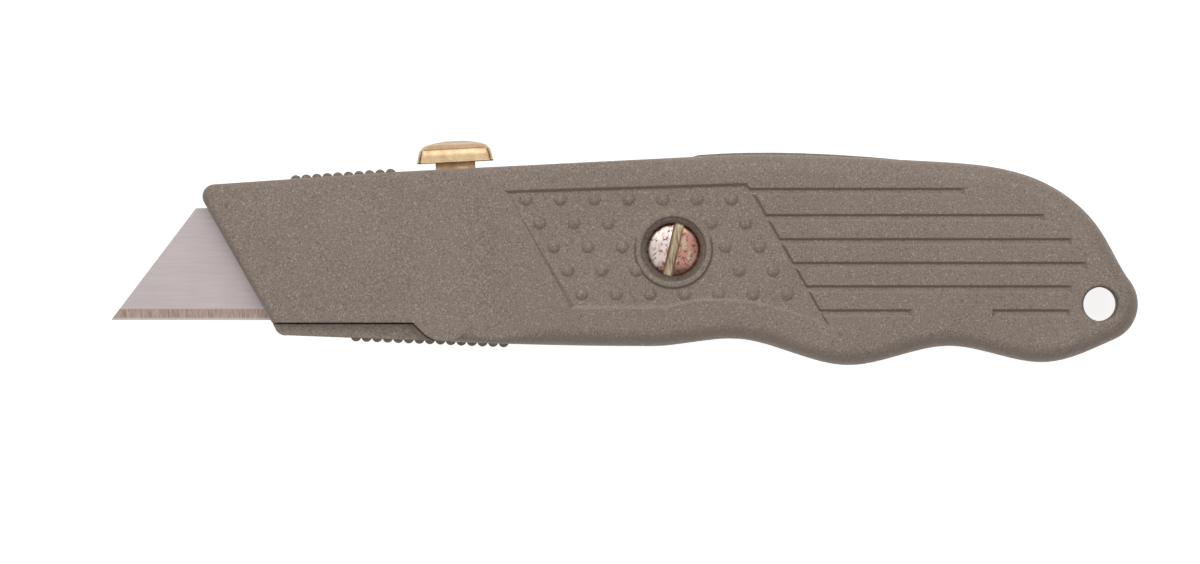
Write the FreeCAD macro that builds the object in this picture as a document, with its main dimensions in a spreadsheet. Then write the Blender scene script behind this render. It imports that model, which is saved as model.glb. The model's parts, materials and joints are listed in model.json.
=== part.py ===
"""Utility knife with a sliding blade, lying on its far half, drawn in millimetres.

The origin is on the flat outside of the far half, on the axis of the body screw.
+Z runs through the thickness to the near half, +X to the tail and +Y to the thumb button.
The two halves meet at the seam plane. The slide frame has its origin under the button, on the
back of the knife, and its own X axis along the track that the carrier slides on.
"""
import FreeCAD, Part
import math
import os

Vector = FreeCAD.Vector

SIZES = (
    ("nose_reach", 78.4, "screw axis to the front of the nose"),
    ("tail_reach", 77.3, "screw axis to the end of the tail"),
    ("half_thickness", 9.0, "seam plane to either flat face"),
    ("nose_half", 6.5, "seam plane to either face at the front of the nose"),
    ("taper_start", 20.0, "screw axis to where the nose starts to thin"),
    ("nose_back", 10.85, "height of the back at the nose"),
    ("nose_slant", 29.5, "lean of the nose edge, in degrees from upright"),
    ("nose_corner", 2.0, "radius of the nose's upper corner"),
    ("nose_foot", 12.2, "depth of the near half at the nose"),
    ("lip_foot", 14.3, "depth of the far half's lip at the nose"),
    ("track_angle", 2.9, "rise of the track, in degrees"),
    ("track_end", 3.0, "screw axis to the rear end of the straight track"),
    ("track_length", 49.0, "length of the straight track along X"),
    ("back_height", 15.4, "height of the back at the end of the track"),
    ("back_step", 0.35, "how far the far half's back stands proud behind the track"),
    ("belly", 16.1, "depth of the straight belly"),
    ("grip_valley", 14.9, "depth of the front finger valley"),
    ("grip_valley_x", 11.1, "screw axis to the front finger valley"),
    ("grip_run", 15.0, "front finger valley to the straight belly"),
    ("grip_lobe", 19.25, "depth of the front lobe"),
    ("grip_lobe_x", 29.1, "screw axis to the front lobe"),
    ("rear_valley", 16.05, "depth of the rear finger valley"),
    ("tail_lobe", 18.75, "depth of the lobe at the tail"),
    ("tail_round", 6.3, "radius of the tail about the lanyard hole"),
    ("lanyard_drop", 9.1, "depth of the lanyard hole below the screw axis"),
    ("lanyard_radius", 2.83, "radius of the lanyard hole"),
    ("handle_round", 3.0, "rounding of the handle's long edges"),
    ("nose_round", 1.2, "rounding of the nose's edges"),
    ("side_wall", 2.4, "wall along the belly and the tail"),
    ("roof_wall", 3.0, "wall between the track and the carrier's channel"),
    ("face_wall", 2.0, "wall behind the flat faces"),
    ("channel_depth", 4.5, "seam plane to the floor of the carrier's channel"),
    ("nose_wall", 3.0, "length of the nose that guides the blade"),
    ("seam_gap", 0.2, "gap between the near half and the lip"),
    ("lip_height", 5.4, "seam plane to the top of the lip"),
    ("panel_depth", 0.55, "depth of the grip panel and the tail grooves"),
    ("panel_slope", 0.5, "width of the panel's sloping wall"),
    ("groove_width", 1.25, "width of a tail groove at the face"),
    ("bump_radius", 1.15, "radius of a grip bump at its foot"),
    ("bump_height", 0.45, "height of a grip bump"),
    ("bump_pitch", 5.7, "distance between the bumps of a row"),
    ("row_pitch", 3.95, "distance between the rows of bumps"),
    ("bump_clear", 1.65, "edge of the counterbore to the middle of the nearest bump"),
    ("row_shift", 2.32, "how far each row of bumps is moved to the tail"),
    ("ridge_radius", 0.85, "radius of a thumb ridge"),
    ("ridge_height", 0.6, "how far a thumb ridge stands out"),
    ("ridge_pitch", 1.76, "distance between the thumb ridges"),
    ("ridge_reach", 5.2, "seam plane to the end of a thumb ridge"),
    ("head_radius", 4.45, "radius of the screw head"),
    ("head_gap", 0.9, "gap round the screw head"),
    ("head_depth", 3.6, "near face to the seat of the screw head"),
    ("shank_radius", 2.5, "radius of the screw shank"),
    ("shank_gap", 0.08, "gap round the shank in the far post"),
    ("post_radius", 4.5, "radius of the screw posts"),
    ("blade_length", 61.5, "length of a blade's cutting edge"),
    ("blade_back", 33.2, "length of a blade's back edge"),
    ("blade_height", 18.65, "height of a blade"),
    ("blade_thickness", 0.6, "thickness of a blade"),
    ("blade_bevel", 1.9, "height of the ground edge"),
    ("blade_out", 15.3, "nose front to the blade's tip"),
    ("blade_drop", 11.75, "depth of the cutting edge below the screw axis"),
    ("notch_width", 3.2, "width of a blade notch"),
    ("notch_depth", 2.4, "depth of a blade notch"),
    ("notch_spacing", 10.4, "distance between a blade's notches"),
    ("blade_gap", 0.25, "gap on each side of the blade in the nose"),
    ("travel", 30.0, "travel of the carrier"),
    ("button_x", 36.2, "screw axis to the button, blade out"),
    ("cap_length", 12.8, "length of the button's cap"),
    ("cap_width", 9.0, "width of the button's cap"),
    ("cap_lift", 1.1, "track to the underside of the cap"),
    ("cap_height", 3.65, "height of the cap"),
    ("stem_length", 6.6, "length of the stem along the track"),
    ("stem_width", 3.4, "width of the stem"),
    ("slot_gap", 0.4, "gap round the stem in the slot"),
    ("socket_gap", 0.1, "gap round the stem in its socket"),
    ("carrier_gap", 0.3, "gap between the carrier and the channel's roof"),
    ("plate_thickness", 1.6, "thickness of the carrier plate"),
    ("cover_thickness", 0.8, "thickness of the carrier's cover strip"),
    ("rivet_radius", 1.4, "radius of a carrier rivet"),
    ("spare_count", 4, "number of spare blades"),
    ("peg_radius", 1.5, "radius of a spare-blade peg"),
)


def make_sheet(doc):
    """Keeps every driving size in one sheet, one alias to a cell."""
    sheet = doc.addObject("Spreadsheet::Sheet", "Sizes")
    for row, (alias, value, meaning) in enumerate(SIZES, start=1):
        sheet.set("A%d" % row, alias)
        sheet.set("B%d" % row, str(value))
        sheet.set("C%d" % row, meaning)
        sheet.setAlias("B%d" % row, alias)
    doc.recompute()
    return sheet


doc = FreeCAD.newDocument("UtilityKnife")
sheet = make_sheet(doc)
size = {alias: float(sheet.get(alias)) for alias, _, _ in SIZES}

NEAR, FAR = 1, -1
SEAM = size["half_thickness"]
TRACK = math.radians(size["track_angle"])
TAIL_TOP, TAIL_FOOT = 38.0, -66.0
END_LEAD = 0.5
SLIDE_TURN = FreeCAD.Rotation(Vector(0, 0, 1), size["track_angle"])
HOLE = Vector(size["tail_reach"] - size["tail_round"], -size["lanyard_drop"], 0)
BOLT_GAP = 0.2


def track_y(x):
    """Height of the back along the straight track."""
    return size["back_height"] + (x - size["track_end"]) * math.tan(TRACK)


SLIDE_ORIGIN = Vector(-size["button_x"], track_y(-size["button_x"]), SEAM)
SLIDE_FRAME = FreeCAD.Placement(SLIDE_ORIGIN, SLIDE_TURN)


def flat(x, y):
    return Vector(x, y, 0)


def line(start, end):
    return Part.LineSegment(start, end).toShape()


def arc(start, middle, end):
    return Part.Arc(start, middle, end).toShape()


def curve(points, leaving=None, arriving=None):
    """Smooth curve through a few points, with its end directions where they are given."""
    spline = Part.BSplineCurve()
    if leaving is None:
        spline.interpolate(Points=points)
    else:
        spline.interpolate(Points=points, InitialTangent=leaving, FinalTangent=arriving)
    return spline.toShape()


def guided(points, leaving, arriving):
    """Smooth curve whose ends keep to the given directions for a short lead."""
    start = points[0] + leaving * END_LEAD
    finish = points[-1] - arriving * END_LEAD
    return curve([points[0], start] + points[1:-1] + [finish, points[-1]])


def loop(points):
    """Straight edges that join the points and close."""
    return [line(a, b) for a, b in zip(points, points[1:] + points[:1])]


def prism(edges, side, inner, outer):
    """Solid between two depths, both measured from the seam plane towards one side."""
    face = Part.Face(Part.Wire(edges))
    face.translate(Vector(0, 0, SEAM + side * inner))
    return face.extrude(Vector(0, 0, side * (outer - inner)))


def box(side, low, high, inner, outer):
    """Block between two corners of the side view and two depths from the seam plane."""
    corners = [low, flat(high.x, low.y), high, flat(low.x, high.y)]
    return prism(loop(corners), side, inner, outer)


def post(side, centre, radius, inner, outer):
    """Round post or bore between two depths from the seam plane."""
    base = Vector(centre.x, centre.y, SEAM + side * inner)
    return Part.makeCylinder(radius, outer - inner, base, Vector(0, 0, side))


def in_slide(x, y):
    """A point of the slide frame, in the side view."""
    point = SLIDE_FRAME.multVec(flat(x, y))
    return flat(point.x, point.y)


# ---------------------------------------------------------------- outline of the halves

def nose_points():
    """Centre of the nose's upper corner, and where it meets the back and the slanted edge."""
    radius = size["nose_corner"]
    slant = math.radians(size["nose_slant"])
    centre = flat(radius - size["nose_reach"], size["nose_back"] - radius)
    front = track_front()
    rise = math.atan2(front.y - size["nose_back"], front.x - centre.x)
    top = centre + flat(-math.sin(rise), math.cos(rise)) * radius
    low = centre - flat(math.cos(slant), math.sin(slant)) * radius
    return centre, top, low


def track_front():
    x = size["track_end"] - size["track_length"]
    return flat(x, track_y(x))


def nose_edge_x(y, inset=0.0):
    """X of the slanted nose edge at a height, moved in by an inset."""
    low = nose_points()[2]
    slant = math.radians(size["nose_slant"])
    return low.x + (low.y - y) * math.tan(slant) + inset / math.cos(slant)


def belly_y(x, inset=0.0):
    """Height of the belly ahead of the grip: an arc that rises gently to the lip."""
    start, end = belly_front(), lip_start()
    run, rise = start.x - end.x, end.y - start.y
    radius = (run * run + rise * rise) / (2 * rise)
    return start.y + inset + radius - math.sqrt(radius * radius - (start.x - x) ** 2)


def belly_front():
    return flat(size["grip_valley_x"] - size["grip_run"], -size["belly"])


def lip_start():
    """Where the near half's edge leaves the belly and the lip begins."""
    return flat(-0.483 * size["nose_reach"], 0.8 - size["belly"])


def back_curve(proud):
    """Back of the handle, from the end of the track to the tail's round."""
    start = flat(size["track_end"], track_y(size["track_end"]) + proud)
    tail = tail_point(TAIL_TOP)
    points = [start, flat(grip_x(0.12), 15.75 + proud), flat(grip_x(0.56), 14.75 + 0.5 * proud),
              flat(grip_x(0.86), 11.25), flat(HOLE.x + 0.1, 3.1), tail]
    leaving = flat(math.cos(TRACK), math.sin(TRACK))
    return curve(points, leaving, tail_direction(TAIL_TOP))


def grip_x(share):
    """X between the track's end and the lanyard hole."""
    return size["track_end"] + share * (HOLE.x - size["track_end"])


def tail_point(angle):
    turn = math.radians(angle)
    return HOLE + flat(math.cos(turn), math.sin(turn)) * size["tail_round"]


def tail_direction(angle):
    """Direction of the outline on the tail's round, going down to the belly."""
    turn = math.radians(angle)
    return flat(math.sin(turn), -math.cos(turn))


def grip_points(inset=0.0):
    """Lobes and valleys of the grip, from the tail to the front, moved in by an inset."""
    return [flat(HOLE.x - 9.0, -size["tail_lobe"] + inset), flat(HOLE.x - 25.0, -size["rear_valley"] + inset),
            flat(size["grip_lobe_x"], -size["grip_lobe"] + inset),
            flat(size["grip_valley_x"], -size["grip_valley"] + inset),
            belly_front() + flat(0, inset)]


def nose_edges(side):
    """Edges from the belly's front end round the nose's foot to the slanted edge's foot."""
    start = lip_start()
    if side == NEAR:
        bend = start + flat(-4.1, 1.7)
        corner = flat(start.x - 5.5, -size["nose_foot"])
        foot = flat(nose_edge_x(-size["nose_foot"]), -size["nose_foot"])
        return [arc(start, start + flat(-2.4, 0.45), bend), line(bend, corner), line(corner, foot)], foot
    foot = flat(nose_edge_x(-size["lip_foot"] + 1.3), 1.3 - size["lip_foot"])
    heel = flat(foot.x + 2.1, -size["lip_foot"])
    middle = flat(foot.x + 0.62, -size["lip_foot"] + 0.38)
    return [line(start, heel), arc(heel, middle, foot)], foot


def outline(side):
    """Closed outline of one half, clockwise from the nose's upper corner."""
    centre, top, low = nose_points()
    front = track_front()
    change = flat(-8.0, track_y(-8.0))
    end = flat(size["track_end"], track_y(size["track_end"]))
    radius = size["nose_corner"]
    edges = [line(top, front), line(front, change), line(change, end)]
    edges.append(back_curve(0.0))
    edges.append(arc(tail_point(TAIL_TOP), tail_point((TAIL_TOP + TAIL_FOOT) / 2), tail_point(TAIL_FOOT)))
    edges.append(guided([tail_point(TAIL_FOOT)] + grip_points(), tail_direction(TAIL_FOOT), flat(-1, 0)))
    change_x = lip_start().x + 7.9
    belly = [flat(x, belly_y(x)) for x in (-15.0, change_x, change_x - 4.0)]
    edges.append(arc(belly_front(), belly[0], belly[1]))
    edges.append(arc(belly[1], belly[2], lip_start()))
    foot_edges, foot = nose_edges(side)
    edges += foot_edges
    edges.append(line(foot, low))
    edges.append(arc(low, centre + flat(-1, 0.45).normalize() * radius, top))
    return edges


def cavity_outline(side, front_inset):
    """Inside of one half: the roof runs with the track, the floor follows the belly."""
    wall = size["side_wall"]
    roof = -size["roof_wall"]
    nose_top = in_slide(-38.0, roof)
    roof_end = in_slide(size["button_x"] + size["track_end"], roof)
    floor = -size["nose_foot"] - size["seam_gap"]
    nose_high = flat(nose_edge_x(nose_top.y, front_inset), nose_top.y)
    nose_low = flat(nose_edge_x(floor, front_inset), floor)
    grip = grip_points(wall)
    tail_low = flat(grip[0].x - 1.0, grip[0].y)
    tail_high = flat(HOLE.x - 4.5, 5.8)
    shoulder = flat(grip_x(0.8), 9.6)
    knee = flat(lip_start().x - 2.0, floor)
    heel = flat(lip_start().x + 4.0, belly_y(lip_start().x + 4.0, wall))
    edges = [line(nose_high, roof_end), line(roof_end, flat(grip_x(0.56), 12.2))]
    edges += [line(flat(grip_x(0.56), 12.2), shoulder), line(shoulder, tail_high)]
    waist = flat(HOLE.x - size["lanyard_radius"] - wall - 1.0, HOLE.y + 6.0)
    edges += [line(tail_high, waist), line(waist, flat(waist.x - 1.5, tail_low.y + 2.0))]
    edges += [line(flat(waist.x - 1.5, tail_low.y + 2.0), tail_low)]
    edges += [guided([tail_low] + grip[1:], flat(-1, 0), flat(-1, 0))]
    edges += [line(grip[-1], heel), line(heel, knee), line(knee, nose_low), line(nose_low, nose_high)]
    return edges


def stores_outline():
    """Deeper room behind the screw, where the spare blades lie."""
    edges = cavity_outline(NEAR, 0.0)
    wall = Part.Face(Part.Wire(edges))
    room = Part.Face(Part.Wire(loop([flat(3.0, -30), flat(90, -30), flat(90, 30), flat(3.0, 30)])))
    return wall.common(room).Faces[0].OuterWire.Edges


# ---------------------------------------------------------------- outside of the halves

def taper_tool(side):
    """What the nose loses: the room beyond a large arc that leaves the flat face tangent."""
    run = size["nose_reach"] - size["taper_start"]
    drop = size["half_thickness"] - size["nose_half"]
    radius = (run * run + drop * drop) / (2 * drop)
    turn = math.asin(run / radius)
    start_x = -size["taper_start"]

    def at(x, depth):
        return Vector(x, -30, SEAM + side * depth)

    start = at(start_x, size["half_thickness"])
    end = at(start_x - run, size["nose_half"])
    half = turn / 2
    middle_depth = size["half_thickness"] - radius * (1 - math.cos(half))
    middle = at(start_x - radius * math.sin(half), middle_depth)
    beyond = at(end.x - 10, size["nose_half"] - 10 * math.tan(turn))
    corners = [end, beyond, at(beyond.x, 20), at(start_x, 20), start]
    edges = [arc(start, middle, end)] + [line(a, b) for a, b in zip(corners, corners[1:])]
    return Part.Face(Part.Wire(edges)).extrude(Vector(0, 60, 0))


def rounding_at(point):
    """Rounding of the outer edge: small on the nose and the track, full on the handle."""
    small, full = size["nose_round"], size["handle_round"]
    if point.y > 0 or point.x > HOLE.x - 1:
        share = (point.x + 8.0) / (size["track_end"] + 8.0)
    else:
        share = (point.x - lip_start().x) / 7.9
    return small + (full - small) * min(max(share, 0), 1)


def outer_edges(blank):
    """Numbers of the blank's outer edges, with the rounding at both ends of each."""
    chosen = []
    for number, edge in enumerate(blank.Edges, start=1):
        depths = [abs(v.Z - SEAM) for v in edge.Vertexes]
        middle = edge.CenterOfMass
        if min(depths) < size["nose_half"] - 0.5 or abs(depths[0] - depths[-1]) > 3:
            continue
        if abs(middle.x + size["taper_start"]) < 0.5 and abs(middle.y) < 3:
            continue
        if middle.x < lip_start().x - 1 and middle.y < -10:
            continue
        first, last = edge.valueAt(edge.FirstParameter), edge.valueAt(edge.LastParameter)
        if edge.Orientation == "Reversed":
            first, last = last, first
        chosen.append((number, rounding_at(first), rounding_at(last)))
    return chosen


def make_blank(side, name):
    """Solid half with its thinned nose and its rounded outer edges."""
    blank = doc.addObject("Part::Feature", name + "_blank")
    blank.Shape = prism(outline(side), side, 0, size["half_thickness"]).cut(taper_tool(side))
    rounded = doc.addObject("Part::Fillet", name + "_rounded")
    rounded.Base = blank
    rounded.Edges = outer_edges(blank.Shape)
    doc.recompute()
    return rounded.Shape


def sloping_pocket(wide, narrow, side):
    """Pocket in the flat face whose walls slope from a wide rim to a narrow floor."""
    rim = size["half_thickness"]
    floor = rim - size["panel_depth"]
    wires = []
    for edges, depth in ((wide, rim), (narrow, floor)):
        wire = Part.Wire(edges)
        wire.translate(Vector(0, 0, SEAM + side * depth))
        wires.append(wire)
    return Part.makeLoft(wires, True, True)


def panel_edges(inset):
    """Grip panel: slanted ends, a straight top and a lower edge that follows the grip."""
    dip = [flat(-17.0, -9.9), flat(-1.0, -9.8), flat(8.2, -8.55), flat(16.3, -9.75), flat(25.95, -12.7)]
    corners = [flat(-28.3, 9.8), flat(12.2, 11.05), flat(13.6, 9.4)]
    lean = flat(-0.5 * inset, 0)
    dip = [point + flat(0, inset) for point in dip]
    dip[0] += flat(0.9 * inset, 0)
    dip[-1] += lean * 2
    corners[0] += flat(1.6 * inset, -inset)
    corners[1] += flat(-0.6 * inset, -inset)
    corners[2] += flat(-inset, -0.4 * inset)
    edges = [line(corners[0], corners[1]), line(corners[1], corners[2]), line(corners[2], dip[-1])]
    edges.append(curve(dip[:0:-1]))
    edges += [line(dip[1], dip[0]), line(dip[0], corners[0])]
    return edges


def groove_tools(side):
    """Tail grooves that start inside the panel's slanted end."""
    half = size["groove_width"] / 2
    slope = 0.35
    rows = [(9.6, grip_x(0.67)), (5.25, HOLE.x - 9.2), (1.25, HOLE.x - 4.7), (-2.7, HOLE.x - 2.2),
            (-6.6, HOLE.x - 4.7), (-10.6, 39.8)]
    stretches = [(y, 13.0 + (9.4 - y) * 0.5636 - 2.0, end) for y, end in rows]
    stretches.append((-10.6, HOLE.x - 17.9, HOLE.x - 5.0))
    tools = []
    for y, start, end in stretches:
        wide = loop([flat(start, y - half), flat(end, y - half), flat(end, y + half), flat(start, y + half)])
        low, high = y - half + slope, y + half - slope
        narrow = loop([flat(start + 0.1, low), flat(end - 0.8, low), flat(end - 0.8, high), flat(start + 0.1, high)])
        tools.append(sloping_pocket(wide, narrow, side))
    return tools


def bumps(side):
    """Rows of low domes on the panel, left out round the screw."""
    radius = (size["bump_radius"] ** 2 + size["bump_height"] ** 2) / (2 * size["bump_height"])
    latitude = math.degrees(math.asin((radius - size["bump_height"]) / radius))
    floor = size["half_thickness"] - size["panel_depth"]
    depth = floor + size["bump_height"] - radius
    clear = size["head_radius"] + size["head_gap"] + size["bump_clear"]
    domes = []
    for row in range(5):
        for column in range(7):
            centre = flat(-24.55 + column * size["bump_pitch"] + row * size["row_shift"],
                          8.4 - row * size["row_pitch"])
            if centre.Length < clear:
                continue
            base = Vector(centre.x, centre.y, SEAM + side * depth)
            up = Vector(0, 0, side)
            domes.append(Part.makeSphere(radius, base, up, latitude, 90, 360))
    return domes


def ridge(side, centre, outward, reach):
    """One half-round thumb ridge across the edge, sunk so that only its crown stands out."""
    sunk = size["ridge_radius"] - size["ridge_height"]
    return post(side, centre - outward * sunk, size["ridge_radius"], 0, reach)


def ridges(side):
    """Thumb ridges on the back of the nose and under it."""
    top, front = nose_points()[1], track_front()
    along = (front - top).normalize()
    outward = flat(-along.y, along.x)
    pitch, reach = size["ridge_pitch"], size["ridge_reach"]
    found = [ridge(side, front - along * (1.1 + pitch * n), outward, reach) for n in range(10)]
    heel = nose_edges(FAR)[0][0].Vertexes[-1].Point
    down = (heel - lip_start()).normalize()
    below = flat(down.y, -down.x) if down.x > 0 else flat(-down.y, down.x)
    for n in range(15):
        x = lip_start().x + 9.6 - pitch * n
        if x > lip_start().x:
            found.append(ridge(side, flat(x, belly_y(x)), flat(0, -1), reach))
        elif side == FAR:
            spot = lip_start() + down * (lip_start().x - x)
            found.append(ridge(side, spot, below, reach))
    return found


def detailed_blank(side, name):
    """Rounded half with its panel, grooves, lanyard hole and ridges."""
    shape = make_blank(side, name)
    rim = size["half_thickness"]
    hole = post(side, HOLE, size["lanyard_radius"], -1, rim + 1)
    shape = shape.cut(hole)
    rims = [e for e in shape.Edges if is_rim(e, size["lanyard_radius"], rim)]
    shape = shape.makeFillet(0.6, rims)
    shape = shape.cut([sloping_pocket(panel_edges(0), panel_edges(size["panel_slope"]), side)])
    shape = shape.cut(groove_tools(side))
    return shape.fuse(ridges(side))


def is_rim(edge, radius, depth):
    """True for a whole circle of this radius at this depth from the seam plane."""
    level = abs(edge.CenterOfMass.z - SEAM)
    round_length = 2 * math.pi * radius
    return abs(edge.Length - round_length) < 0.01 and abs(level - depth) < 0.01


def collar(side, top):
    """Raised ring round the screw, from the panel's floor to the face."""
    floor = size["half_thickness"] - size["panel_depth"]
    base = Vector(0, 0, SEAM + side * (floor - 0.5))
    radius = size["head_radius"] + size["head_gap"]
    return Part.makeCone(radius + 1.6, radius + 0.9, top - floor + 0.5, base, Vector(0, 0, side))


# ---------------------------------------------------------------- the two halves

def hollow(side, shape):
    """Takes out the carrier's channel, the blade's slot, the stem's slot and the stores."""
    depth = size["channel_depth"]
    blade_half = size["blade_thickness"] / 2 + size["blade_gap"]
    inner = prism(cavity_outline(side, size["nose_wall"]), side, -0.01, depth)
    slit = prism(cavity_outline(side, -12.0), side, -0.01, blade_half)
    stores = prism(stores_outline(), side, -0.01, size["half_thickness"] - size["face_wall"])
    shape = shape.cut([inner, slit, stores])
    half_width = size["stem_width"] / 2 + size["slot_gap"]
    start = -size["stem_length"] / 2 - size["slot_gap"]
    end = size["travel"] - start
    roof = -size["roof_wall"] - 0.5
    corners = [in_slide(start, roof), in_slide(end, roof), in_slide(end, 1.0), in_slide(start, 1.0)]
    return shape.cut(prism(loop(corners), side, -0.01, half_width))


def make_near_half():
    """Near half: screw counterbore in a raised collar, post down to the seam."""
    face = size["half_thickness"]
    shape = hollow(NEAR, detailed_blank(NEAR, "near"))
    head_room = size["head_radius"] + size["head_gap"]
    seat = face - size["head_depth"]
    axis = flat(0, 0)
    barrel = post(NEAR, axis, head_room + 1.5, seat - 1.8, face - size["panel_depth"])
    solid_post = post(NEAR, axis, size["post_radius"], 0, seat)
    shape = shape.fuse([barrel, solid_post, collar(NEAR, face)] + bumps(NEAR))
    shape = shape.cut([post(NEAR, axis, head_room, seat, face + 1),
                       post(NEAR, axis, size["shank_radius"] + BOLT_GAP, -0.01, face)])
    rims = [e for e in shape.Edges if is_rim(e, head_room, face)]
    shape = shape.makeFillet(0.35, rims)
    return shape.removeSplitter()


def make_lip():
    """Lip of the far half that closes the nose from below, up past the seam."""
    block = prism(outline(FAR), NEAR, -0.5, size["lip_height"])
    reach = box(NEAR, flat(-90, -30), flat(lip_start().x - 0.3, -10), -1, 10)
    near = prism(outline(NEAR), NEAR, -1, 10)
    near.translate(Vector(0, -size["seam_gap"], 0))
    return block.common(reach).cut(near)


def detent_rail():
    """Rail under the carrier's front part, with the three notches of the detent."""
    top, foot = -10.3, -12.0
    start, end = -33.0, 9.5
    corners = [in_slide(start, foot), in_slide(end, foot), in_slide(end, top), in_slide(start, top)]
    inner = size["blade_thickness"] / 2 + 0.3
    rail = prism(loop(corners), FAR, inner, size["channel_depth"] + 0.5)
    for step in range(3):
        x = detent_x() + step * size["travel"] / 2
        vee = [in_slide(x - 1.6, top + 0.2), in_slide(x + 1.6, top + 0.2), in_slide(x, top - 1.1)]
        rail = rail.cut(prism(loop(vee), FAR, 0, size["channel_depth"]))
    return rail


def detent_x():
    """Place of the detent's crest in the slide frame, blade out."""
    return -24.0


def make_far_half():
    """Far half: blind screw post, lip, detent rail and the pegs of the spare blades."""
    face = size["half_thickness"]
    shape = hollow(FAR, detailed_blank(FAR, "far"))
    floor = face - size["face_wall"]
    axis = flat(0, 0)
    pad = post(FAR, axis, size["head_radius"] + size["head_gap"], floor, face)
    screw_post = post(FAR, axis, size["post_radius"], 0, floor + 0.5)
    pegs = [post(FAR, centre, size["peg_radius"], floor - 4.0, floor + 0.5) for centre in peg_centres()]
    crest = back_crest()
    shape = shape.fuse([pad, screw_post, make_lip(), detent_rail(), crest] + pegs + bumps(FAR))
    bore = post(FAR, axis, size["shank_radius"] + size["shank_gap"], -0.01, face - size["face_wall"] - 0.6)
    return shape.cut(bore).removeSplitter()


def back_crest():
    """Narrow strip that stands proud along the far half's back, behind the track."""
    start = flat(size["track_end"], track_y(size["track_end"]))
    sink = flat(0, -1.5)
    rear = flat(grip_x(0.66), 13.9)
    high = flat(grip_x(0.12), 15.75 + size["back_step"])
    middle = flat(grip_x(0.4), 15.25 + size["back_step"])
    lead = start + flat(1.2, size["back_step"])
    edges = [line(start, lead), curve([lead, high, middle, rear]), line(rear, rear + sink)]
    edges += [curve([rear + sink, middle + sink, high + sink, start + sink]), line(start + sink, start)]
    return prism(edges, FAR, 0, 3.0)


# ---------------------------------------------------------------- blades

def blade_outline():
    """Trapezoid with two notches in its back edge; the cutting edge lies on the X axis."""
    long_half, short_half = size["blade_length"] / 2, size["blade_back"] / 2
    top = size["blade_height"]
    points = [flat(-long_half, 0), flat(long_half, 0), flat(short_half, top)]
    for centre in (size["notch_spacing"] / 2, -size["notch_spacing"] / 2):
        for x, y in ((1, 0), (1, -1), (-1, -1), (-1, 0)):
            points.append(flat(centre + x * size["notch_width"] / 2, top + y * size["notch_depth"]))
    points.append(flat(-short_half, top))
    return points


def origin_plane(body, role):
    return [f for f in body.Origin.OriginFeatures if f.Role == role][0]


def new_sketch(body, name, role, points):
    """Closed sketch of straight lines on one of the body's own planes."""
    sketch = body.newObject("Sketcher::SketchObject", name)
    sketch.AttachmentSupport = (origin_plane(body, role), [""])
    sketch.MapMode = "FlatFace"
    for start, end in zip(points, points[1:] + points[:1]):
        sketch.addGeometry(Part.LineSegment(start, end), False)
    return sketch


def make_blade(name, place):
    """Blade: a padded trapezoid, with both sides of the cutting edge ground away."""
    body = doc.addObject("PartDesign::Body", name)
    sheet_metal = body.newObject("PartDesign::Pad", name + "_sheet")
    sheet_metal.Profile = new_sketch(body, name + "_outline", "XY_Plane", blade_outline())
    sheet_metal.setExpression("Length", "Sizes.blade_thickness")
    thick, bevel = size["blade_thickness"], size["blade_bevel"]
    keen = thick / 2 - 0.03
    for tag, high, low in (("far", 0.0, keen), ("near", thick, thick - keen)):
        grind = [flat(-1.0, high), flat(bevel, high), flat(0, low), flat(-1.0, low)]
        sketch = new_sketch(body, name + "_grind_" + tag, "YZ_Plane", grind)
        pocket = body.newObject("PartDesign::Pocket", name + "_bevel_" + tag)
        pocket.Profile = sketch
        pocket.Type = "ThroughAll"
        pocket.Midplane = True
        body.Tip = pocket
    body.Placement = place
    body.Label = name
    return body


def working_place():
    """Blade out: its tip ahead of the nose, its cutting edge along X, on the seam plane."""
    tip = -size["nose_reach"] - size["blade_out"]
    return Vector(tip + size["blade_length"] / 2, -size["blade_drop"], SEAM - size["blade_thickness"] / 2)


def spare_place(number):
    """Spare blades lie on the floor of the stores, cutting edge to the back of the knife."""
    level = size["face_wall"] + number * size["blade_thickness"]
    centre = flat(HOLE.x - 36.75, 5.2)
    turn = FreeCAD.Rotation(Vector(1, 0, 0), 180)
    return FreeCAD.Placement(Vector(centre.x, centre.y, level + size["blade_thickness"]), turn)


def peg_centres():
    """Pegs of the spare blades, at the ends of their notches."""
    place = spare_place(0).Base
    y = place.y - size["blade_height"] + size["notch_depth"] - size["peg_radius"] - 0.1
    return [flat(place.x + side * size["notch_spacing"] / 2, y) for side in (-1, 1)]


def rivet_centres():
    """Rivets sit in the working blade's notches."""
    place = working_place()
    y = place.y + size["blade_height"] - size["notch_depth"] + size["rivet_radius"] + 0.1
    return [flat(place.x + side * size["notch_spacing"] / 2, y) for side in (-1, 1)]


# ---------------------------------------------------------------- carrier and button

def named(name, shape):
    """Puts a finished shape into the document under its own name."""
    feature = doc.addObject("Part::Feature", name)
    feature.Label = name
    feature.Shape = shape
    return feature


def socket_floor():
    return -6.5


def stem_foot():
    return -4.5


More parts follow.
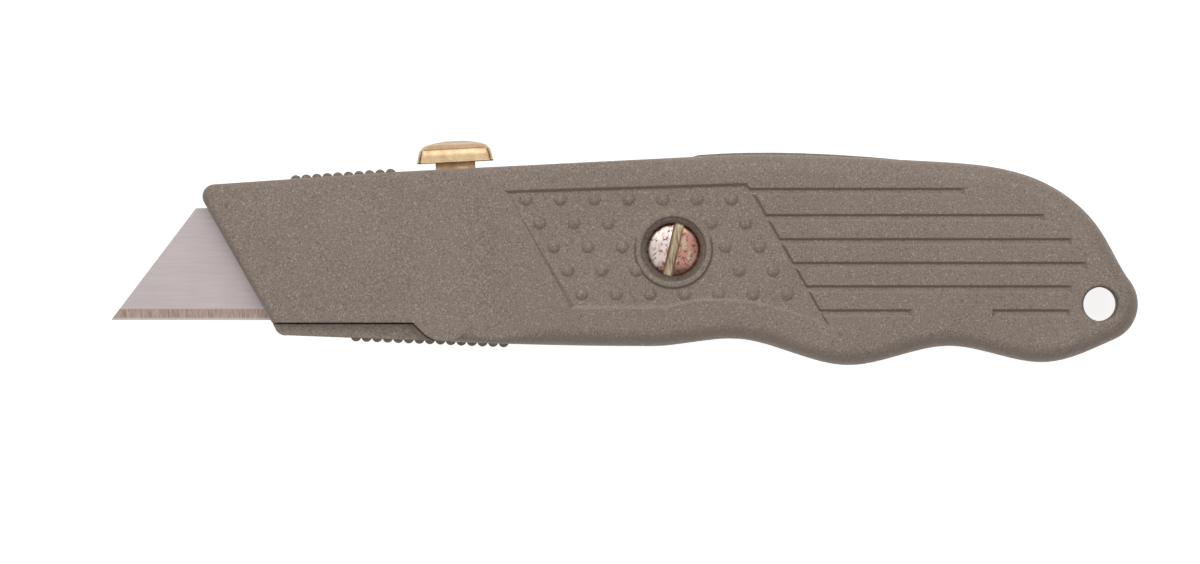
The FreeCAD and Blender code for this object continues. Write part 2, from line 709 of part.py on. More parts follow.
def make_carrier():
    """Carrier: a plate on the far side of the blade and a block that guides the stem."""
    top = -size["roof_wall"] - size["carrier_gap"]
    near_face = size["blade_thickness"] / 2
    far_face = near_face + size["plate_thickness"]
    plate = [(-35.0, top), (6.0, top), (6.0, -7.6), (-11.0, -7.6), (-13.0, -9.4), (-35.0, -9.4)]
    shape = prism(loop([in_slide(x, y) for x, y in plate]), FAR, near_face, far_face)
    block_half = size["stem_width"] / 2 + size["socket_gap"] + 0.9
    reach = size["stem_length"] / 2 + size["socket_gap"] + 1.6
    corners = [in_slide(x, y) for x, y in ((-reach, -7.6), (reach, -7.6), (reach, top), (-reach, top))]
    shape = shape.fuse([prism(loop(corners), FAR, 0, block_half), prism(loop(corners), NEAR, 0, block_half)])
    half = size["stem_length"] / 2 + size["socket_gap"]
    width = size["stem_width"] / 2 + size["socket_gap"]
    hole = [in_slide(x, y) for x, y in ((-half, socket_floor()), (half, socket_floor()), (half, 1), (-half, 1))]
    shape = shape.cut([prism(loop(hole), FAR, -0.01, width), prism(loop(hole), NEAR, -0.01, width)])
    shape = shape.cut([post(FAR, c, size["rivet_radius"], 0, 5) for c in rivet_centres()])
    return named("blade_carrier", shape.removeSplitter())


def make_carrier_cover():
    """Cover strip on the near side of the blade's back edge."""
    near_face = size["blade_thickness"] / 2
    strip = [(-35.0, -4.2), (-17.5, -4.2), (-17.5, -8.9), (-35.0, -8.9)]
    outer = near_face + size["cover_thickness"]
    shape = prism(loop([in_slide(x, y) for x, y in strip]), NEAR, near_face, outer)
    shape = shape.cut([post(NEAR, c, size["rivet_radius"], 0, 5) for c in rivet_centres()])
    return named("carrier_cover", shape)


def make_rivets():
    """Two rivets that clamp plate, blade and cover, with a low head at each end."""
    far_end = size["blade_thickness"] / 2 + size["plate_thickness"]
    near_end = size["blade_thickness"] / 2 + size["cover_thickness"]
    solids = []
    for centre in rivet_centres():
        shank = post(FAR, centre, size["rivet_radius"], -near_end, far_end)
        head = 1.55 * size["rivet_radius"]
        far_head = post(FAR, centre, head, far_end, far_end + 0.5)
        near_head = post(NEAR, centre, head, near_end, near_end + 0.5)
        solids.append(shank.fuse([far_head, near_head]).removeSplitter())
    return named("carrier_rivets", Part.makeCompound(solids))


def make_detent_spring():
    """Leaf under the carrier plate, whose crest rests in a notch of the rail."""
    x, foot = detent_x(), -9.4
    thick = 0.3
    crest = foot - 1.45
    lower = [(-4.0, -thick), (-2.0, -thick), (-0.35, crest - foot), (0.35, crest - foot), (2.0, -thick),
             (4.0, -thick)]
    upper = [(4.0, 0), (1.8, 0), (0.2, crest - foot + thick), (-0.2, crest - foot + thick), (-1.8, 0), (-4.0, 0)]
    points = [in_slide(x + dx, foot + dy) for dx, dy in lower + upper]
    near_face = size["blade_thickness"] / 2
    shape = prism(loop(points), FAR, near_face + 0.1, near_face + size["plate_thickness"])
    return named("detent_spring", shape)


def make_button():
    """Thumb button: stem through the slot, and a cap with sloping sides and a domed crown."""
    base, crown = size["cap_lift"], size["cap_lift"] + size["cap_height"]
    half = size["cap_length"] / 2
    profile = [flat(-half + 0.5, base), flat(half - 0.5, base), flat(half, base + 0.55), flat(half - 0.35, crown - 1.1)]
    left = [flat(-point.x, point.y) for point in profile[:1:-1]]
    rim_left, flare_left = left[0], left[1]
    edges = [line(profile[0], profile[1]), line(profile[1], profile[2]), line(profile[2], profile[3]),
             arc(profile[3], flat(0, crown), rim_left), line(rim_left, flare_left), line(flare_left, profile[0])]
    cap = Part.Face(Part.Wire(edges)).extrude(Vector(0, 0, size["cap_width"]))
    cap.translate(Vector(0, 0, -size["cap_width"] / 2))
    rim = [e for e in cap.Edges if e.CenterOfMass.y > crown - 1.3]
    cap = cap.makeFillet(0.7, rim)
    stem = Part.makeBox(size["stem_length"], base + 0.2 - stem_foot(), size["stem_width"])
    stem.translate(Vector(-size["stem_length"] / 2, stem_foot(), -size["stem_width"] / 2))
    button = named("thumb_button", cap.fuse(stem).removeSplitter())
    button.Placement = SLIDE_FRAME
    return button


def make_button_spring():
    """Compression spring between the socket's floor and the stem."""
    wire = 0.17
    low, high = socket_floor() + wire, stem_foot() - wire
    helix = Part.makeHelix((high - low) / 3.0, high - low, 1.1)
    ring = Part.Wire(Part.Circle(Vector(1.1, 0, 0), Vector(0, 1, 0), wire).toShape())
    coil = Part.Wire(helix.Edges).makePipeShell([ring], True, True)
    spring = named("button_spring", coil)
    upright = FreeCAD.Placement(Vector(0, low, 0), FreeCAD.Rotation(Vector(1, 0, 0), -90))
    spring.Placement = SLIDE_FRAME.multiply(upright)
    return spring


# ---------------------------------------------------------------- screw and retainer

def make_screw():
    """Slotted screw: a low-domed head on a turned shank, drawn about its own axis."""
    body = doc.addObject("PartDesign::Body", "body_screw")
    seat = size["half_thickness"] * 2 - size["head_depth"]
    radius, shank = size["head_radius"], size["shank_radius"]
    foot = size["face_wall"] + 1.4
    rim, crown = 1.7, 2.75
    sketch = body.newObject("Sketcher::SketchObject", "screw_profile")
    sketch.AttachmentSupport = (origin_plane(body, "XZ_Plane"), [""])
    sketch.MapMode = "FlatFace"
    low = foot - seat
    outer = [flat(0, low), flat(shank - 0.8, low), flat(shank, low + 0.8), flat(shank, 0), flat(radius, 0),
             flat(radius, rim)]
    for start, end in zip(outer, outer[1:]):
        sketch.addGeometry(Part.LineSegment(start, end), False)
    dome_middle = flat(radius * 0.55, rim + (crown - rim) * 0.76)
    sketch.addGeometry(Part.Arc(outer[-1], dome_middle, flat(0, crown)), False)
    sketch.addGeometry(Part.LineSegment(flat(0, crown), flat(0, low)), False)
    turned = body.newObject("PartDesign::Revolution", "screw_turned")
    turned.Profile = sketch
    turned.ReferenceAxis = (sketch, ["V_Axis"])
    turned.Angle = 360
    slot = new_sketch(body, "screw_slot", "XZ_Plane",
                      [flat(-0.85, rim - 0.35), flat(0.85, rim - 0.35), flat(0.85, crown + 1), flat(-0.85, crown + 1)])
    cut = body.newObject("PartDesign::Pocket", "screw_slot_cut")
    cut.Profile = slot
    cut.Type = "ThroughAll"
    cut.Midplane = True
    body.Tip = cut
    body.Placement = FreeCAD.Placement(Vector(0, 0, seat), FreeCAD.Rotation(Vector(0, 0, 1), -13.3))
    body.setExpression("Placement.Base.z", "Sizes.half_thickness * 2 - Sizes.head_depth")
    body.Label = "body_screw"
    return body


def make_retainer():
    """Spring clip that grips the pegs and keeps the spare blades down."""
    level = size["face_wall"] + size["spare_count"] * size["blade_thickness"]
    first, second = peg_centres()
    thick = 0.5
    plate = Part.makeBox(second.x - first.x + 7.0, 6.4, thick)
    plate.translate(Vector(first.x - 3.5, first.y - 0.6 - 0.5 * size["peg_radius"], level))
    tongue = Part.makeBox(4.0, thick, 2.2)
    tongue.translate(Vector((first.x + second.x) / 2 - 2.0, plate.BoundBox.YMax - thick, level))
    shape = plate.fuse(tongue)
    holes = [Part.makeCylinder(size["peg_radius"] + 0.05, 5, Vector(c.x, c.y, level - 1)) for c in (first, second)]
    return named("spare_blade_retainer", shape.cut(holes).removeSplitter())


def check(parts):
    """Stops if any object failed, or any piece is empty or not a valid shape."""
    for item in doc.Objects:
        if "Invalid" in item.State or "Error" in item.State:
            raise RuntimeError("%s failed: %s" % (item.Name, item.State))
    for piece in parts:
        if piece.Shape.isNull() or not piece.Shape.isValid():
            raise RuntimeError("%s has no valid shape" % piece.Label)


def main():
    parts = [named("near_half", make_near_half()), named("far_half", make_far_half())]
    parts += [make_screw(), make_carrier(), make_carrier_cover(), make_rivets()]
    parts += [make_detent_spring(), make_button(), make_button_spring(), make_retainer()]
    working = FreeCAD.Placement(working_place(), FreeCAD.Rotation())
    parts.append(make_blade("working_blade", working))
    for number in range(int(size["spare_count"])):
        parts.append(make_blade("spare_blade_%d" % (number + 1), spare_place(number)))
    doc.recompute()
    check(parts)
    os.makedirs("parts", exist_ok=True)
    for piece in parts:
        piece.Shape.exportStep(os.path.join("parts", piece.Label + ".step"))
        print(piece.Label, len(piece.Shape.Solids), round(piece.Shape.Volume, 2))


main()
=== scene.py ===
"""Utility knife with a sliding blade: the finishes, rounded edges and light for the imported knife.

The knife lies on its far half, with the tail towards +X and the thumb button towards +Y.
"""

import json
import math

import bmesh
import bpy
from mathutils import Matrix, Vector

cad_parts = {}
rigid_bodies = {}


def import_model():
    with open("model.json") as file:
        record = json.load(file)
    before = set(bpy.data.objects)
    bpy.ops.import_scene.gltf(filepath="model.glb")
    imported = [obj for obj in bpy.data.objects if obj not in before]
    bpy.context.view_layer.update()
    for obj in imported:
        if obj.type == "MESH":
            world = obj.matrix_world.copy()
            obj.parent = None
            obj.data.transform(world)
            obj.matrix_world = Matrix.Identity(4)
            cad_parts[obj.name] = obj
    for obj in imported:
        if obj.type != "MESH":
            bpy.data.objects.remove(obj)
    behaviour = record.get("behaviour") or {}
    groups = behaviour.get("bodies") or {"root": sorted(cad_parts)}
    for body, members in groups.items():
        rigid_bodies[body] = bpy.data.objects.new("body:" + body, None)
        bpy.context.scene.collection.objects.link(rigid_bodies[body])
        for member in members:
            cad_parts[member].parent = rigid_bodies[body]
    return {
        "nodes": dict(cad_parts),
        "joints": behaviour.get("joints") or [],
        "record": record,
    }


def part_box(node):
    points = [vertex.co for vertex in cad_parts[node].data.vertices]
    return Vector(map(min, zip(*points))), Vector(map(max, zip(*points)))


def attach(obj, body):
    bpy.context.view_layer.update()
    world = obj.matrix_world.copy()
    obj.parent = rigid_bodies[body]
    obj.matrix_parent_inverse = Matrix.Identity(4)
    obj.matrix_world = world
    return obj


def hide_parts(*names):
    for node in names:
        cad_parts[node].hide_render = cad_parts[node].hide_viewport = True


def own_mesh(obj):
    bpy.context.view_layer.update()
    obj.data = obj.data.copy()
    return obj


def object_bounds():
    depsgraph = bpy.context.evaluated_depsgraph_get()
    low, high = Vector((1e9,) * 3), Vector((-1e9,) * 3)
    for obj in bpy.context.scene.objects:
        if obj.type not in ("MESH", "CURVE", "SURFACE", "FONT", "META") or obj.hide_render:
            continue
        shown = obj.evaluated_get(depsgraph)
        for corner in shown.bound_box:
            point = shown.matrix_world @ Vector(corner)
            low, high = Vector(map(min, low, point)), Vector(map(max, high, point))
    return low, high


bl_info = {
    "name": "Utility Knife Finisher",
    "version": (1, 0, 0),
    "blender": (4, 5, 0),
    "location": "View3D > Sidebar > Knife",
    "description": "Finishes the shells, blades, button, screw and springs of a utility knife",
    "category": "Object",
}

for leftover in list(bpy.data.objects):
    bpy.data.objects.remove(leftover)

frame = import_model()
CAD_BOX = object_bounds()
MM = 0.001

# Welding and cutting, in metres.
WELD = 0.001 * MM  # points of a new piece nearer than this become one
NODE_WELD = 0.0015 * MM  # the same for a copy of a CAD node
SLIVER = 0.0005 * MM  # edges shorter than this are dissolved, and cuts snap to points this near
ON_PLANE = 0.002 * MM  # points nearer than this to a plane lie on it

# Steepest turn between two faces that is still shaded smooth.
PIECE_SMOOTH = math.radians(32)
SHELL_SMOOTH = math.radians(28)
COIL_SMOOTH = math.radians(50)

# Paint of each part of the shells, against the near half's plain outside; the tints over 1 are
# painted light, lifting shade or adding a highlight.
NEAR_TINT = 1.0
# The whole far half is painted lighter to make up for the near half's shadow on its lip: painted
# light.
FAR_SHADE_LIFT_TINT = 1.22
# Painted highlight: the recess walls that face the key light's side are painted lighter.
WALL_HIGHLIGHT_TINT = 1.45  # recess walls that face the button's side
# Painted light: the counterbore's seat is painted lighter to lift the shade in its recess.
SEAT_SHADE_LIFT_TINT = 2.0  # seat of the counterbore

# The grip panel and the tail grooves, sunk in the near half's outside; these bound the painted
# highlight on their walls.
RECESS_DEPTH = 0.6 * MM
GRIP_FRONT = -28.6 * MM
GRIP_FOOT, GRIP_TOP = -13.4 * MM, 12.6 * MM
STEEP = 0.71  # largest Z of a wall's normal
FACING_BUTTON = 0.25  # smallest Y of the normal of a wall that faces the button's side

# The counterbore's seat, painted lighter to lift its shade.
SEAT_REACH = 5.5 * MM
SEAT_FLATNESS = 0.05 * MM

# The screw.
SCREW_RIM = 0.12 * MM  # chamfer between the side of the head and its dome
SCREW_TIP = 0.4 * MM  # chamfer at the foot of the shank
SCREW_BREAK = 0.09 * MM  # rounding of the head's sharp edges
DOME_STEPS = 12
SPIN_STEPS = 128
THREAD_PITCH = 0.8 * MM
THREAD_FADE = (8.2 * MM, 8.8 * MM)  # heights between which the thread runs out
# The slot is painted darker than the head, with a darker line at each wall's foot: painted shade.
SLOT_BLEND = 0.02 * MM  # half the width of the change of tone at the slot's walls
SLOT_FOOT_SHADE = (0.42 * MM, 0.18 * MM)  # the dark line at a wall's foot: its start and full tone

# The button's cap.
CAP_CORNER = 1.0 * MM
CAP_RIM = 0.32 * MM
CAP_LEDGE = 0.06 * MM
CAP_WAIST = 0.2 * MM  # height over the rim at which the crown starts to bend
CAP_SAG = 1.05 * MM  # how much lower the crown is at the cap's two ends
CAP_BREAK = 0.08 * MM
STEM_BREAK = 0.18 * MM
STEM_OVERLAP = 0.15 * MM  # how far the stem stands into the cap
# Each step's rise as a share of the cap's height, then its scale along and across.
CAP_STEPS = (
    (0.20, 0.985, 0.985),
    (0.36, 0.962, 0.965),
    (0.04, 0.985, 0.975),
    (0.04, 0.975, 0.955),
    (0.11, 0.945, 0.88),
    (0.04, 0.955, 0.86),
    (0.022, 0.88, 0.74),
    (0.010, 0.75, 0.6),
    (0.003, 0.5, 0.5),
)

# The stage, in metres.
FLOOR_HALF = 4.0
FLOOR_GAP = 0.05 * MM
KEY_PLACE, KEY_SIZE = (-0.15, 0.75, 0.75), (1.4, 0.7)  # place from the middle of the knife
SOFT_BOX_PLACE, SOFT_BOX_SIZE = (0.0, 0.10, 1.6), (3.4, 2.6)
CAMERA_OVER = (-12.22 * MM, -5.42 * MM)  # point of the knife that the camera looks down on

BODY_OF = {
    node: body
    for body, nodes in frame["record"]["behaviour"]["bodies"].items()
    for node in nodes
}


# ---------------------------------------------------------------- sizes and colours

class KnifePaintSettings(bpy.types.PropertyGroup):
    """The paint on both halves."""

    colour: bpy.props.FloatVectorProperty(
        name="Paint", description="Taupe of the paint", size=3, subtype="COLOR",
        default=(0.270, 0.216, 0.178), min=0, max=1)
    flake_colour: bpy.props.FloatVectorProperty(
        name="Flake", description="Light metal flakes in the paint", size=3, subtype="COLOR",
        default=(0.50, 0.44, 0.37), min=0, max=1)
    grain: bpy.props.FloatProperty(
        name="Grain", description="Size of the paint's sandy grain", unit="LENGTH",
        default=0.25 * MM, min=0.05 * MM, max=2 * MM)
    edge: bpy.props.FloatProperty(
        name="Edge", description="Radius that the paint gives to sharp edges", unit="LENGTH",
        default=0.36 * MM, min=0, max=1 * MM)


class KnifeButtonSettings(bpy.types.PropertyGroup):
    """The thumb button."""

    cap_length: bpy.props.FloatProperty(
        name="Cap length", description="Length of the cap along the track", unit="LENGTH",
        default=12.75 * MM, min=8 * MM, max=20 * MM)
    cap_width: bpy.props.FloatProperty(
        name="Cap width", description="Width of the cap across the back", unit="LENGTH",
        default=8.95 * MM, min=4 * MM, max=14 * MM)
    cap_lift: bpy.props.FloatProperty(
        name="Cap lift", description="Track to the underside of the cap", unit="LENGTH",
        default=1.1 * MM, min=0.5 * MM, max=3 * MM)
    cap_height: bpy.props.FloatProperty(
        name="Cap height", description="Underside of the cap to its crown", unit="LENGTH",
        default=3.62 * MM, min=1 * MM, max=6 * MM)
    stem_length: bpy.props.FloatProperty(
        name="Stem length", description="Length of the stem along the track", unit="LENGTH",
        default=6.6 * MM, min=3 * MM, max=10 * MM)
    stem_width: bpy.props.FloatProperty(
        name="Stem width", description="Width of the stem", unit="LENGTH",
        default=3.4 * MM, min=1 * MM, max=6 * MM)
    stem_depth: bpy.props.FloatProperty(
        name="Stem depth", description="Track to the foot of the stem", unit="LENGTH",
        default=4.5 * MM, min=2 * MM, max=8 * MM)
    colour: bpy.props.FloatVectorProperty(
        name="Brass", description="Colour of the brass plate", size=3, subtype="COLOR",
        default=(0.60, 0.43, 0.255), min=0, max=1)


class KnifeScrewSettings(bpy.types.PropertyGroup):
    """The screw that holds the halves together."""

    head_radius: bpy.props.FloatProperty(
        name="Head radius", description="Radius of the screw's head", unit="LENGTH",
        default=4.45 * MM, min=2 * MM, max=8 * MM)
    shank_radius: bpy.props.FloatProperty(
        name="Shank radius", description="Radius of the screw's shank", unit="LENGTH",
        default=2.5 * MM, min=1 * MM, max=4 * MM)
    head_thickness: bpy.props.FloatProperty(
        name="Head thickness", description="Seat to the crown of the head", unit="LENGTH",
        default=2.74 * MM, min=1 * MM, max=5 * MM)
    dome: bpy.props.FloatProperty(
        name="Dome", description="Rise of the head's crown", unit="LENGTH",
        default=0.95 * MM, min=0.1 * MM, max=2 * MM)
    slot_width: bpy.props.FloatProperty(
        name="Slot width", description="Width of the screwdriver slot", unit="LENGTH",
        default=1.7 * MM, min=0.5 * MM, max=3 * MM)
    slot_depth: bpy.props.FloatProperty(
        name="Slot depth", description="Crown to the floor of the slot", unit="LENGTH",
        default=1.25 * MM, min=0.3 * MM, max=2 * MM)
    slot_turn: bpy.props.FloatProperty(
        name="Slot turn", description="Lean of the slot towards the tail", subtype="ANGLE",
        default=math.radians(13.3))
    colour: bpy.props.FloatVectorProperty(
        name="Pink plate", description="Pink of the zinc plate", size=3, subtype="COLOR",
        default=(0.46, 0.235, 0.185), min=0, max=1)
    gold: bpy.props.FloatVectorProperty(
        name="Gold plate", description="Gold of the zinc plate", size=3, subtype="COLOR",
        default=(0.52, 0.42, 0.31), min=0, max=1)


class KnifeBladeSettings(bpy.types.PropertyGroup):
    """The blades."""

    colour: bpy.props.FloatVectorProperty(
        name="Steel", description="Colour of the blade's face", size=3, subtype="COLOR",
        default=(0.535, 0.475, 0.47), min=0, max=1)
    ground_colour: bpy.props.FloatVectorProperty(
        name="Ground edge", description="Colour of the ground edge", size=3, subtype="COLOR",
        default=(0.39, 0.29, 0.245), min=0, max=1)
    bevel_height: bpy.props.FloatProperty(
        name="Ground edge height", description="Height of the ground edge", unit="LENGTH",
        default=1.9 * MM, min=0.5 * MM, max=4 * MM)


class KnifeStageSettings(bpy.types.PropertyGroup):
    """The floor, the lights and the camera."""

    floor_colour: bpy.props.FloatVectorProperty(
        name="Floor", description="Colour of the floor", size=3, subtype="COLOR",
        default=(0.45, 0.45, 0.45), min=0, max=1)
    picture_width: bpy.props.FloatProperty(
        name="Picture width", description="Width of the view at the knife", unit="LENGTH",
        default=0.2, min=0.1, max=1)
    camera_height: bpy.props.FloatProperty(
        name="Camera height", description="Seam of the knife to the camera", unit="LENGTH",
        default=4.0, min=0.3, max=10)
    key_power: bpy.props.FloatProperty(
        name="Key light", description="Power of the light from the button's side", unit="POWER",
        default=4.6, min=0, max=100)
    soft_box_power: bpy.props.FloatProperty(
        name="Soft box", description="Power of the large soft box overhead", unit="POWER",
        default=27.0, min=0, max=200)
    floor_glow: bpy.props.FloatProperty(
        name="Floor glow", description="How strongly the floor panel is lit from below",
        default=0.85, min=0, max=5)
    sky: bpy.props.FloatProperty(
        name="Room light", description="Strength of the light from all round",
        default=0.12, min=0, max=5)


# ---------------------------------------------------------------- the slide

def joint(name):
    """The frame's joint of this name."""
    return next(j for j in frame["joints"] if j["name"] == name)


def slide_frame():
    """Frame of the track: its origin is on it, under the button, and its X runs to the tail."""
    axis = Vector(joint("slide_track")["axis"])
    turn = Matrix.Rotation(math.atan2(axis.y, axis.x), 4, "Z")
    back = turn.inverted()
    low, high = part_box("thumb_button")
    middle = (low + high) / 2
    lowest = min((back @ v.co).y for v in frame["nodes"]["thumb_button"].data.vertices)
    depth = bpy.context.scene.knife_button.stem_depth
    origin = turn @ Vector(((back @ middle).x, lowest + depth, middle.z))
    return Matrix.Translation(origin) @ turn


# ---------------------------------------------------------------- material helpers

class Finish:
    """A material with its nodes laid out from left to right."""

    def __init__(self, name):
        self.material = bpy.data.materials.new(name)
        self.material.use_nodes = True
        self.tree = self.material.node_tree
        self.shader = self.tree.nodes["Principled BSDF"]
        self.place = self.add("ShaderNodeTexCoord").outputs["Object"]

    def add(self, kind, **values):
        """A new node with these settings."""
        node = self.tree.nodes.new(kind)
        node.location = (-220 * len(self.tree.nodes), 0)
        for name, value in values.items():
            setattr(node, name, value)
        return node

    def link(self, source, target):
        self.tree.links.new(source, target)

    def set(self, **values):
        """Sets plain numbers and colours on the shader itself."""
        for name, value in values.items():
            self.shader.inputs[name.replace("_", " ")].default_value = value

    def stretched(self, scale, turn=(0, 0, 0)):
        """Object coordinates, stretched along each axis."""
        node = self.add("ShaderNodeMapping")
        node.inputs["Scale"].default_value = scale
        node.inputs["Rotation"].default_value = turn
        self.link(self.place, node.inputs["Vector"])
        return node.outputs["Vector"]

    def noise(self, size, detail=2.0, rough=0.5, place=None):
        """Cloudy noise whose blobs are about this size."""
        node = self.add("ShaderNodeTexNoise")
        node.inputs["Scale"].default_value = 1 / size
        node.inputs["Detail"].default_value = detail
        node.inputs["Roughness"].default_value = rough
        self.link(place or self.place, node.inputs["Vector"])
        return node.outputs["Fac"]

    def cells(self, size, place=None):
        """One random number for every cell of about this size."""
        node = self.add("ShaderNodeTexVoronoi")
        node.inputs["Scale"].default_value = 1 / size
        self.link(place or self.place, node.inputs["Vector"])
        split = self.add("ShaderNodeSeparateColor")
        self.link(node.outputs["Color"], split.inputs["Color"])
        return split.outputs["Red"]

    def ramp(self, value, low, high, first=(0, 0, 0), last=(1, 1, 1)):
        """Goes from the first colour to the last as the value goes from low to high."""
        node = self.add("ShaderNodeValToRGB")
        ends = node.color_ramp.elements
        ends[0].position, ends[1].position = low, high
        ends[0].color, ends[1].color = (*first, 1), (*last, 1)
        self.link(value, node.inputs["Fac"])
        return node.outputs["Color"]

    def range(self, value, low, high, first, last):
        """Goes from the first number to the last as the value goes from low to high."""
        node = self.add("ShaderNodeMapRange")
        ends = {"From Min": low, "From Max": high, "To Min": first, "To Max": last}
        for name, number in ends.items():
            node.inputs[name].default_value = number
        self.link(value, node.inputs["Value"])
        return node.outputs["Result"]

    def mix(self, share, first, second, blend="MIX"):
        """Mixes two colours, each a socket or a plain colour."""
        node = self.add("ShaderNodeMix", data_type="RGBA", blend_type=blend)
        factor, colour_a, colour_b = node.inputs[0], node.inputs[6], node.inputs[7]
        for socket, value in ((factor, share), (colour_a, first), (colour_b, second)):
            if isinstance(value, bpy.types.NodeSocket):
                self.link(value, socket)
            elif isinstance(value, (int, float)):
                socket.default_value = value
            else:
                socket.default_value = (*value, 1)
        return node.outputs[2]

    def math(self, operation, first, second=0.0):
        """One sum on numbers, each a socket or a plain number."""
        node = self.add("ShaderNodeMath", operation=operation)
        for socket, value in zip(node.inputs, (first, second)):
            if isinstance(value, bpy.types.NodeSocket):
                self.link(value, socket)
            else:
                socket.default_value = value
        return node.outputs["Value"]

    def axis(self, name):
        """One object coordinate, in metres."""
        node = self.add("ShaderNodeSeparateXYZ")
        self.link(self.place, node.inputs["Vector"])
        return node.outputs[name]

    def turned_away(self, start, end, lit):
        """0 on flat faces, up to 1 on rounded ones, and at most lit on the button's side: the share
        of painted shade.
        """
        normal = self.add("ShaderNodeSeparateXYZ")
        self.link(self.add("ShaderNodeNewGeometry").outputs["Normal"], normal.inputs["Vector"])
        upright = self.math("ABSOLUTE", normal.outputs["Z"])
        side = self.range(upright, start, end, 0.0, 1.0)
        return self.math("MULTIPLY", side, self.range(normal.outputs["Y"], 0.0, 0.35, 1.0, lit))

    def bump(self, height, distance, strength=1.0, edge=0.0):
        """Raises the surface by a height socket; edge rounds the sharp edges first."""
        node = self.add("ShaderNodeBump")
        node.inputs["Distance"].default_value = distance
        node.inputs["Strength"].default_value = strength
        self.link(height, node.inputs["Height"])
        if edge:
            soft = self.add("ShaderNodeBevel", samples=6)
            soft.inputs["Radius"].default_value = edge
            self.link(soft.outputs["Normal"], node.inputs["Normal"])
        self.link(node.outputs["Normal"], self.shader.inputs["Normal"])

    def colour(self, socket):
        self.link(socket, self.shader.inputs["Base Color"])

    def roughness(self, socket):
        self.link(socket, self.shader.inputs["Roughness"])


def tinted(colour, factor):
    """The colour made lighter or darker by this factor."""
    return tuple(min(1.0, c * factor) for c in colour)


# ---------------------------------------------------------------- finishes

def shell_paint(name, tint=1.0):
    """Sandy taupe paint with small light metal flakes, and painted shade on its rounded faces."""
    paint = bpy.context.scene.knife_paint
    finish = Finish(name)
    base = tinted(paint.colour, tint)
    grain = finish.noise(paint.grain, 3.0, 0.62)
    sandy = finish.ramp(grain, 0.36, 0.66, tinted(base, 0.72), tinted(base, 1.26))
    cloud = finish.noise(14 * MM, 3.0, 0.5)
    cloud_tone = finish.ramp(cloud, 0.3, 0.7, (0.9, 0.9, 0.9), (1.08, 1.06, 1.04))
    clouded = finish.mix(0.5, sandy, cloud_tone, "MULTIPLY")
    flake = finish.cells(paint.grain * 0.85)
    flake_share = finish.range(flake, 0.86, 0.98, 0.0, 0.45)
    flaked = finish.mix(flake_share, clouded, tuple(paint.flake_colour))
    pit = finish.cells(paint.grain * 1.1, finish.stretched((1.0, 1.0, 1.0), (0.4, 0.2, 0.7)))
    pit_share = finish.range(pit, 0.91, 0.98, 0.0, 0.5)
    pitted = finish.mix(pit_share, flaked, tinted(base, 0.45))
    # Painted shade: rounded faces are mixed towards a darker tone, less on the button's side where
    # the key light falls.
    rounded = finish.turned_away(0.985, 0.70, 0.25)
    smooth = finish.mix(0.20, tinted(base, 0.84), pitted)
    finish.colour(finish.mix(finish.math("MULTIPLY", rounded, 0.75), pitted, smooth))
    finish.roughness(finish.range(flake, 0.86, 0.97, 0.62, 0.36))
    finish.bump(grain, 0.055 * MM, 0.55, paint.edge)
    finish.set(Metallic=0.12, Specular_IOR_Level=0.42)
    return finish.material


def brass(name):
    """Bright brass plate with a fine hammered surface, and painted shade near the edges."""
    button = bpy.context.scene.knife_button
    finish = Finish(name)
    base = tuple(button.colour)
    patch = finish.noise(1.6 * MM, 4.0, 0.6)
    toned = finish.ramp(patch, 0.35, 0.68, tinted(base, 0.80), tinted(base, 1.12))
    speck = finish.noise(0.32 * MM, 2.0, 0.6)
    dark = finish.range(speck, 0.66, 0.74, 0.0, 0.55)
    worn = finish.mix(dark, toned, (0.33, 0.20, 0.09))
    # Painted shade: rounded faces turn dark brown, less on the button's side where the key light
    # falls.
    rounded = finish.turned_away(0.97, 0.45, 0.80)
    finish.colour(finish.mix(finish.math("MULTIPLY", rounded, 0.62), worn, (0.40, 0.22, 0.10)))
    finish.roughness(finish.range(patch, 0.3, 0.7, 0.34, 0.24))
    finish.bump(finish.noise(0.55 * MM, 3.0, 0.55), 0.03 * MM, 0.35, 0.12 * MM)
    finish.set(Metallic=1.0)
    return finish.material


def slot_painted_shade(finish, screw, plate):
    """Painted shade in the slot: a darker olive gold with stripes along it, and a dark line at the
    foot of each wall.
    """
    turn = (0.0, 0.0, screw.slot_turn)
    turned = finish.stretched((1.0, 1.0, 1.0), turn)
    split = finish.add("ShaderNodeSeparateXYZ")
    finish.link(turned, split.inputs["Vector"])
    across = finish.math("ABSOLUTE", split.outputs["X"])
    half = screw.slot_width / 2
    inside = finish.range(across, half - SLOT_BLEND, half + SLOT_BLEND, 1.0, 0.0)
    streak = finish.noise(0.22 * MM, 2.0, 0.6, finish.stretched((1.0, 0.1, 1.0), turn))
    # Painted shade: the slot's floor is painted darker than the plate, in stripes.
    floor = finish.ramp(streak, 0.35, 0.65, (0.20, 0.14, 0.08), (0.50, 0.40, 0.28))
    # Painted shade: a dark line at the foot of each wall.
    foot = finish.range(across, half - SLOT_FOOT_SHADE[0], half - SLOT_FOOT_SHADE[1], 0.0, 0.75)
    floor = finish.mix(foot, floor, (0.09, 0.05, 0.03))
    return finish.mix(inside, plate, floor)


